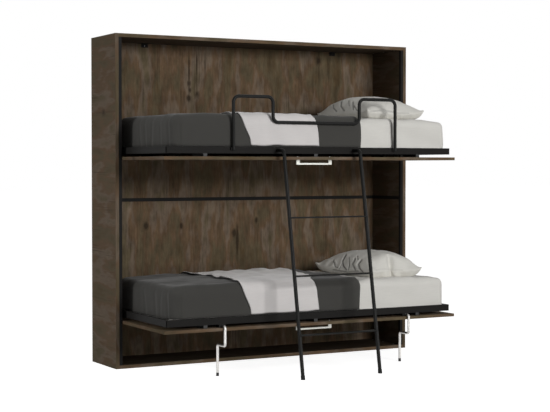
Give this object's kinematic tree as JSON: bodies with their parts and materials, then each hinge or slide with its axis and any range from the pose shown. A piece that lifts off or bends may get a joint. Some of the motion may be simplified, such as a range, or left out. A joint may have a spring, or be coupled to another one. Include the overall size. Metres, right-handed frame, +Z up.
{
  "type": "folding bunk bed",
  "caption": "Shallow wall cabinet with two single beds, one over the other, that fold up sideways behind their doors, with cranked legs, a guard rail and a ladder.",
  "frame": {"origin": "on the floor, at the centre of the cabinet's base", "axes": "+X along the wall, to the right seen from the room; +Y into the wall; +Z up"},
  "size_m": [2.112, 1.3127, 2.04],
  "materials": {
    "dark_wood": "dark open-grain laminate, matt",
    "black_steel": "black powder coat, satin",
    "zinc_steel": "zinc plated",
    "leg_chrome": "satin chrome",
    "handle_steel": "brushed",
    "strut_black": "black gloss paint",
    "strut_chrome": "ground and chromed",
    "black_plastic": "moulded",
    "black_rubber": "moulded",
    "slat_beech": "planed, clear lacquer",
    "sheet_cotton": "woven cotton",
    "duvet_cotton": "woven cotton, dark grey",
    "throw_cotton": "woven cotton, off-white",
    "pillow_cotton": "woven cotton, off-white"
  },
  "bodies": {
    "cabinet": {"side_panel_left": "dark_wood", "side_panel_right": "dark_wood", "top_panel": "dark_wood", "bottom_panel": "dark_wood", "back_board_lower": "dark_wood", "back_board_upper": "dark_wood", "cam_locks": "zinc_steel", "cam_bolts": "zinc_steel", "front_stile_left": "black_steel", "front_stile_right": "black_steel", "mid_rail": "black_steel", "wall_angles": "black_steel", "pivot_plates": "zinc_steel", "strut_mounts": "zinc_steel"},
    "bed_lower": {"door_lower": "dark_wood", "handle_lower": "handle_steel", "handle_screws_lower": "zinc_steel", "frame_long_rails_lower": "black_steel", "frame_cross_tubes_lower": "black_steel", "slats_lower": "slat_beech", "spacer_blocks_lower": "black_plastic", "end_plates_lower": "black_steel", "mattress_lower": "sheet_cotton", "duvet_lower": "duvet_cotton", "throw_lower": "throw_cotton", "pillow_lower": "pillow_cotton", "leg_blocks": "black_steel"},
    "bed_upper": {"door_upper": "dark_wood", "handle_upper": "handle_steel", "handle_screws_upper": "zinc_steel", "frame_long_rails_upper": "black_steel", "frame_cross_tubes_upper": "black_steel", "slats_upper": "slat_beech", "spacer_blocks_upper": "black_plastic", "end_plates_upper": "black_steel", "mattress_upper": "sheet_cotton", "duvet_upper": "duvet_cotton", "throw_upper": "throw_cotton", "pillow_upper": "pillow_cotton", "guard_saddles": "black_steel"},
    "strut_tube_lower_left": {"strut_tube_lower_left": "strut_black"},
    "strut_rod_lower_left": {"strut_rod_lower_left": "strut_chrome"},
    "strut_tube_lower_right": {"strut_tube_lower_right": "strut_black"},
    "strut_rod_lower_right": {"strut_rod_lower_right": "strut_chrome"},
    "strut_tube_upper_left": {"strut_tube_upper_left": "strut_black"},
    "strut_rod_upper_left": {"strut_rod_upper_left": "strut_chrome"},
    "strut_tube_upper_right": {"strut_tube_upper_right": "strut_black"},
    "strut_rod_upper_right": {"strut_rod_upper_right": "strut_chrome"},
    "ladder": {"ladder_rail_left": "black_steel", "ladder_rail_right": "black_steel", "ladder_end_caps": "black_plastic", "ladder_feet": "black_rubber", "ladder_rungs": "black_steel"},
    "guard_rail": {"guard_rail": "black_steel"},
    "leg_sleeve_left": {"leg_sleeve_left": "zinc_steel"},
    "leg_left": {"leg_left": "leg_chrome", "leg_foot_left": "black_plastic"},
    "leg_sleeve_right": {"leg_sleeve_right": "zinc_steel"},
    "leg_right": {"leg_right": "leg_chrome", "leg_foot_right": "black_plastic"}
  },
  "joints": [
    {"name": "fold_lower", "type": "hinge", "parent": "cabinet", "child": "bed_lower", "pos_m": [0, -0.138, 0.335], "axis": [-1, 0, 0], "range_deg": [0, 90], "deforming": ["pillow_lower"]},
    {"name": "strut_swing_lower_left", "type": "hinge", "parent": "cabinet", "child": "strut_tube_lower_left", "pos_m": [0, 0.101, 0.606], "axis": [-1, 0, 0], "range_deg": [0, 4.32]},
    {"name": "strut_stretch_lower_left", "type": "slide", "parent": "strut_tube_lower_left", "child": "strut_rod_lower_left", "axis": [0, -0.4941, -0.8694], "range_m": [0, 0.11809]},
    {"name": "strut_swing_lower_right", "type": "hinge", "parent": "cabinet", "child": "strut_tube_lower_right", "pos_m": [0, 0.101, 0.606], "axis": [-1, 0, 0], "range_deg": [0, 4.32]},
    {"name": "strut_stretch_lower_right", "type": "slide", "parent": "strut_tube_lower_right", "child": "strut_rod_lower_right", "axis": [0, -0.4941, -0.8694], "range_m": [0, 0.11809]},
    {"name": "fold_upper", "type": "hinge", "parent": "cabinet", "child": "bed_upper", "pos_m": [0, -0.138, 1.333], "axis": [-1, 0, 0], "range_deg": [0, 90], "deforming": ["pillow_upper"]},
    {"name": "strut_swing_upper_left", "type": "hinge", "parent": "cabinet", "child": "strut_tube_upper_left", "pos_m": [0, 0.101, 1.604], "axis": [-1, 0, 0], "range_deg": [0, 4.32]},
    {"name": "strut_stretch_upper_left", "type": "slide", "parent": "strut_tube_upper_left", "child": "strut_rod_upper_left", "axis": [0, -0.4941, -0.8694], "range_m": [0, 0.11809]},
    {"name": "strut_swing_upper_right", "type": "hinge", "parent": "cabinet", "child": "strut_tube_upper_right", "pos_m": [0, 0.101, 1.604], "axis": [-1, 0, 0], "range_deg": [0, 4.32]},
    {"name": "strut_stretch_upper_right", "type": "slide", "parent": "strut_tube_upper_right", "child": "strut_rod_upper_right", "axis": [0, -0.4941, -0.8694], "range_m": [0, 0.11809]},
    {"name": "ladder_carry", "type": "slide", "parent": "cabinet", "child": "ladder", "axis": [0, -1, 0], "range_m": [0, 1.1]},
    {"name": "guard_rail_carry", "type": "slide", "parent": "cabinet", "child": "guard_rail", "axis": [0, -1, 0], "range_m": [0, 1.1]},
    {"name": "leg_left_pull", "type": "slide", "parent": "bed_lower", "child": "leg_sleeve_left", "axis": [0, -1, 0], "range_m": [0, 0.125]},
    {"name": "leg_left_turn", "type": "hinge", "parent": "leg_sleeve_left", "child": "leg_left", "pos_m": [-0.632, -0.8295, 0.302], "axis": [0, -1, 0], "range_deg": [0, 90.1]},
    {"name": "leg_right_pull", "type": "slide", "parent": "bed_lower", "child": "leg_sleeve_right", "axis": [0, -1, 0], "range_m": [0, 0.125]},
    {"name": "leg_right_turn", "type": "hinge", "parent": "leg_sleeve_right", "child": "leg_right", "pos_m": [0.654, -0.8295, 0.302], "axis": [0, 1, 0], "range_deg": [0, 90.1]}
  ],
  "couplings": [
    {"joint": "strut_swing_lower_left", "follows": "fold_lower", "ratio": 0.047414},
    {"joint": "strut_stretch_lower_left", "follows": "fold_lower", "m_per_rad": 0.074539},
    {"joint": "strut_swing_lower_right", "follows": "fold_lower", "ratio": 0.047414},
    {"joint": "strut_stretch_lower_right", "follows": "fold_lower", "m_per_rad": 0.074539},
    {"joint": "strut_swing_upper_left", "follows": "fold_upper", "ratio": 0.047414},
    {"joint": "strut_stretch_upper_left", "follows": "fold_upper", "m_per_rad": 0.074539},
    {"joint": "strut_swing_upper_right", "follows": "fold_upper", "ratio": 0.047414},
    {"joint": "strut_stretch_upper_right", "follows": "fold_upper", "m_per_rad": 0.074539},
    {"joint": "ladder_carry", "follows": "fold_upper", "m_per_rad": 0.7},
    {"joint": "guard_rail_carry", "follows": "fold_upper", "m_per_rad": 0.7},
    {"joint": "leg_left_turn", "follows": "leg_left_pull", "rad_per_m": 12.566},
    {"joint": "leg_right_turn", "follows": "leg_right_pull", "rad_per_m": 12.566}
  ]
}
